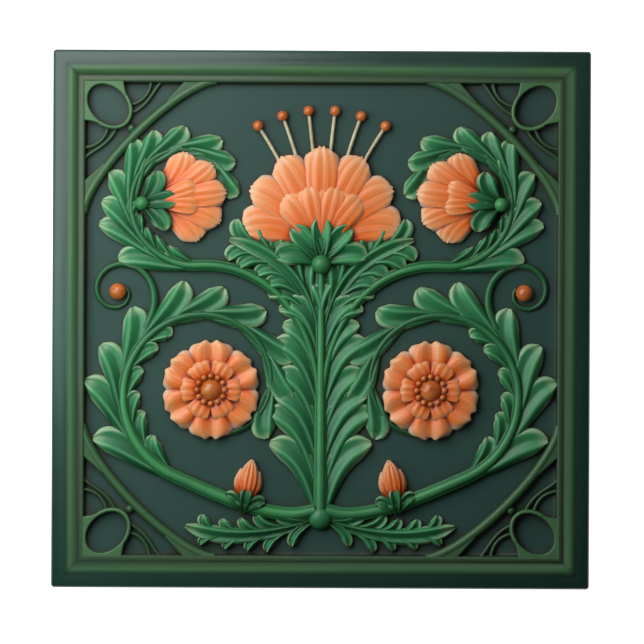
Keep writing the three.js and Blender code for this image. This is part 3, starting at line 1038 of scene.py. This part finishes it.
def petal_colour(tree, place):
    """Iron orange: deep at the foot, streaked, with painted shade in the crease and the folds, and
    pale rims, glaze run thin and painted highlight.
    """
    uv = node(tree, "ShaderNodeUVMap")
    along, across, to_rim = over_blade(tree, uv)
    body = node(tree, "ShaderNodeValToRGB", {"Fac": along}, stops=[
        (0.05, "#c43f02"), (0.3, "#ee5c14"), (0.62, "#fb7630"), (0.95, "#f7975a")])
    stretched = node(tree, "ShaderNodeMapping", {"Vector": uv, "Scale": (1.2, 16, 1)})
    streaks = node(tree, "ShaderNodeTexNoise", {"Vector": stretched, "Scale": 1})
    streaked = brushed(tree, body, "#f0bd9c", streaks, 0.45, 0.78, 0.45)
    # Painted shade down the middle crease and in the folds
    crease_shaded = brushed(tree, streaked, "#d66320", to_rim, 0.06, 0, 0.5)
    fold_shaded = pooled_and_shaded(tree, crease_shaded, "#d04403", 2, 0.7, 0.98)
    # Pale rims and tips: glaze run thin, and painted highlight
    late = node(tree, "ShaderNodeMath", {0: along, 1: 0.3}, operation="POWER")
    rim = node(tree, "ShaderNodeMath", {0: to_rim, 1: late}, operation="MULTIPLY")
    rimmed = brushed(tree, fold_shaded, "#f2cdb4", rim, 0.32, 0.44, 0.8)
    tipped = brushed(tree, rimmed, "#f0c3a4", along, 0.84, 0.98, 0.55)
    # Painted shade, with gathered glaze, where the petals meet the field and each other
    return pooled_and_shaded(tree, tipped, "#9c3a05", 3, 0.35, 0.92)


def amber_colour(tree, place):
    """A thin iron glaze, darker where it ran thick."""
    clouds = node(tree, "ShaderNodeTexNoise", {"Vector": place, "Scale": 1 / (3 * metres)})
    return node(tree, "ShaderNodeValToRGB", {"Fac": clouds}, stops=[
        (0.3, "#c2551b"), (0.7, "#de7c40")])


def cream_colour(tree, place):
    """A pale tin glaze that lets the clay show through in patches."""
    clouds = node(tree, "ShaderNodeTexNoise", {"Vector": place, "Scale": 1 / (4 * metres)})
    return node(tree, "ShaderNodeValToRGB", {"Fac": clouds}, stops=[
        (0.3, "#b09a7a"), (0.7, "#d4c3a6")])


def clay_colour(tree, place):
    """Buff clay in soft clouds, with darker specks of grog under a millimetre across."""
    clouds = node(tree, "ShaderNodeTexNoise", {"Vector": place, "Scale": 1 / (18 * metres)})
    body = node(tree, "ShaderNodeValToRGB", {"Fac": clouds}, stops=[
        (0.3, "#c9b79a"), (0.7, "#d9cbb1")])
    grog = node(tree, "ShaderNodeTexNoise", {
        "Vector": place, "Scale": 1 / (0.7 * metres), "Detail": 3})
    return brushed(tree, body, "#9a7f5c", grog, 0.62, 0.72, 0.5)


def biscuit():
    """Biscuit: earthenware pressed in a mould and fired once, left bare where the tile is bedded.

    It gives the eye a dry, matt and slightly sandy face.
    """
    return new_material("bare biscuit earthenware", clay_colour,
                        roughness=0.9, bump_size=0.6, bump_depth=0.15)


# The pieces

frame_and_field = glaze("teal and moss majolica glaze", frame_and_field_colour, margin_roughness)
duller_past_margin(frame_and_field)
moss = glaze("moss green majolica glaze", tracery_colour, 0.5)
leaf_green = glaze("copper green majolica glaze", leaf_colour, 0.48)
stem_green = glaze("copper green stem glaze", stem_colour, 0.48)
orange = glaze("iron orange majolica glaze", petal_colour, 0.42)
amber = glaze("amber glaze", amber_colour, 0.25)
cream = glaze("cream glaze", cream_colour, 0.35)
back_clay = biscuit()

slab = press_slab()
finish(slab, frame_and_field, back_clay)
# The back stays bare, with its grooves and chamfer
bare_height = 1.2 * key_depth * metres
for face in slab.data.polygons:
    if face.center.z < bare_height and face.normal.z < 0.3:
        face.material_index = 1

finish(corner_tracery(), moss)

# Height across a leaf finger: a broad ridge, a hollow beside it and a lower swell
finger_section = (0.4, 0.84, 1, 0.84, 0.6, 0.5, 0.62, 0.72, 0.34)
finger_blank = blade(finger_section, swelling(0.34, 0.78), climbing(0.5, 0.74, 0.66))
finger_blanks = {1: flipped(finger_blank, (0, 1, 0)), -1: finger_blank}  # by the hand they serve

stem_foot = (0, -56)
lower_centre = (31, -20)
lower_volute = volute(lower_centre, 26.5, 11, start=-66, turn=350, hold=1.3)
upper_volute = volute((37, 35), 20, 6.5, start=-95, turn=300, hold=1.2)
tendril_eye = (57.4, 7.6)
side_tendril = volute(tendril_eye, 13, 2.6, start=232, turn=-440, hold=0.6)
middle_stem = bezier([(0, -56), (0, -40), (0, -10), (0, 22)])
lower_stem = bezier([(1.5, -54), (12, -58), (30.8, -49.1), (41.8, -44.2)])
upper_stem = bezier([(0.4, -24), (1.5, 5), (19, 16.5), (35.3, 15.1)])
bloom_stalk = bezier([(53, 26), (54.6, 30.6), (53, 33.4), (47.5, 33)])

finish_pair("scroll_stems", [
    *stem(lower_stem, 9, 1.25, 1.2),
    *stem(lower_volute, 37, 1.2, 0.5),
    *stem(upper_stem, 15, 0.9, 1),
    *stem(upper_volute, 33, 1, 0.45),
    *stem(bloom_stalk, 9, 0.55, 1.1),
    rod(side_tendril, stem_half_width, stem_rise, 33, tapering(0.8, 0.34)),
    seat(bloom, **bloom_seat),
    seat(bud, **bud_seat),
    knop(bloom, **bloom_knop),
], stem_green)
finish(join("middle_stem", [
    *stem(middle_stem, 9, 1.25, 0.9),
    bead(drawn_point(stem_foot), boss_radius, boss_radius * 0.1),
    seat(crown, **crown_seat),
    knop(crown, **crown_knop),
]), stem_green)

finish_pair("leaves", [
    *fingers(finger_blanks, lower_volute, **lower_sheath),
    *fingers(finger_blanks, lower_volute, **lower_lining),
    *fingers(finger_blanks, upper_volute, **upper_sheath),
    *fingers(finger_blanks, upper_volute, **upper_lining),
    *acanthus(finger_blanks, [(2, -57), (12, -61), (26, -63.5), (38, -58.5)], **foot_leaf),
    *acanthus(finger_blanks, [(1, -6), (3, 10), (12, 19), (26, 22.5)], **side_leaf),
], leaf_green)
middle_rib = bezier([(0, -57), (0, -44), (0, -24), (0, -2)])
finish(join("middle_leaf", leaf_pair(finger_blanks, middle_rib, **middle_leaf)), leaf_green)

# Height across a petal: rolled rims, and between them two soft swells with a crease
petal_section = (0.42, 0.92, 0.76, 0.98, 0.8, 0.98, 0.76, 0.92, 0.42)
petal_blank = blade(petal_section, swelling(0.3, 0.76, 0.5), climbing(0.62, 0.66, 0.66), 0.3)
bud_petal_blank = blade(petal_section, swelling(0.3, 0.55, 0.16, 0.7), climbing(0.62, 0.6, 0.6))
# A sepal is a broad cup with rolled rims
sepal_section = (0.5, 1, 0.84, 0.7, 0.66, 0.7, 0.84, 1, 0.5)
sepal_blank = blade(sepal_section, swelling(0.3, 0.7, 0.24), climbing(0.6, 0.66, 0.72))
# The rosette's petals are hollow down the middle
cupped_section = (0.4, 0.88, 1, 0.86, 0.6, 0.86, 1, 0.88, 0.4)
cupped_blank = blade(cupped_section, swelling(0.3, 0.76, 0.5), climbing(0.55, 0.7, 0.66), 0.24)
finish_pair("blossoms", [
    *side_flower(petal_blank, **bloom),
    *side_flower(bud_petal_blank, **bud),
    *rosette(cupped_blank, petal_blank, lower_centre),
], orange)
finish(join("crown_blossom", side_flower(petal_blank, **crown)), orange)

finish_pair("calyx", [
    *calyx(sepal_blank, bloom, **bloom_sepals),
    *calyx(sepal_blank, bud, **bud_sepals),
], leaf_green)
finish(join("crown_calyx", calyx(sepal_blank, crown, **crown_sepals)), leaf_green)
remove(finger_blank, finger_blanks[1], petal_blank, bud_petal_blank, sepal_blank, cupped_blank)

finish_pair("beads", [
    *rosette_heart(lower_centre),
    bead(drawn_point(tendril_eye), berry_radius, berry_radius * 0.4),
], amber)
rods = []
tips = []
for i in range(stamens):
    line = stamen_line(crown["foot"], i)
    rods.append(rod(line, stamen_half_width, stamen_rise, 7))
    tips.append(bead(line.at(1)[0], anther_radius, anther_radius))
finish(join("anthers", tips), amber)
finish(join("stamens", rods), cream)


# Floor, light and camera


def pale_floor():
    bpy.ops.mesh.primitive_plane_add(size=3)
    floor = bpy.context.object
    floor.name = "floor"
    material = bpy.data.materials.new("matt white paint")
    material.use_nodes = True
    shader = material.node_tree.nodes["Principled BSDF"]
    shader.inputs["Base Color"].default_value = linear("#fbfbfb")
    shader.inputs["Roughness"].default_value = 0.9
    shader.inputs["Emission Color"].default_value = linear("#ffffff")
    shader.inputs["Emission Strength"].default_value = 1
    floor.data.materials.append(material)


def softbox(name, place, width, depth, power, colour="#ffffff"):
    """A softbox that faces the tile and isn't seen by the camera."""
    light = bpy.data.lights.new(name, "AREA")
    light.shape = "RECTANGLE"
    light.size = width
    light.size_y = depth
    light.energy = power
    light.color = linear(colour)[:3]
    lamp = bpy.data.objects.new(name, light)
    lamp.location = place
    lamp.rotation_euler = (-Vector(place)).to_track_quat("-Z", "Y").to_euler()
    lamp.visible_camera = False
    bpy.context.scene.collection.objects.link(lamp)


def look_down():
    """The photograph's camera: square on to the face, far off, and a quarter degree out of true."""
    picture_width = 644  # pixels
    tile_in_picture = 539  # pixels, at the height of the face
    face_height = 0.01
    shown_width = tile_side * picture_width / tile_in_picture * metres
    distance = 1.6
    off_middle = (0.27 * metres, -0.75 * metres)
    out_of_true = math.radians(0.26)
    camera = bpy.data.cameras.new("camera")
    camera.sensor_width = 36
    camera.lens = camera.sensor_width * (distance - face_height) / shown_width
    holder = bpy.data.objects.new("camera", camera)
    holder.location = (*off_middle, distance)
    holder.rotation_euler = Euler((0, 0, out_of_true))
    bpy.context.scene.collection.objects.link(holder)
    bpy.context.scene.camera = holder


pale_floor()
haze = "#bce8df"
softbox("key", (-0.12, 0.14, 0.2), width=0.2, depth=0.2, power=0.52)
softbox("haze_from_left", (-0.2, 0, 0.2), width=0.1, depth=0.3, power=0.45, colour=haze)
softbox("haze_from_top", (0, 0.2, 0.2), width=0.3, depth=0.1, power=0.1, colour=haze)
world = bpy.data.worlds.new("studio")
world.use_nodes = True
world.node_tree.nodes["Background"].inputs["Color"].default_value = (1, 1, 1, 1)
world.node_tree.nodes["Background"].inputs["Strength"].default_value = 0.06
bpy.context.scene.world = world
bpy.context.scene.view_settings.view_transform = "Standard"
look_down()
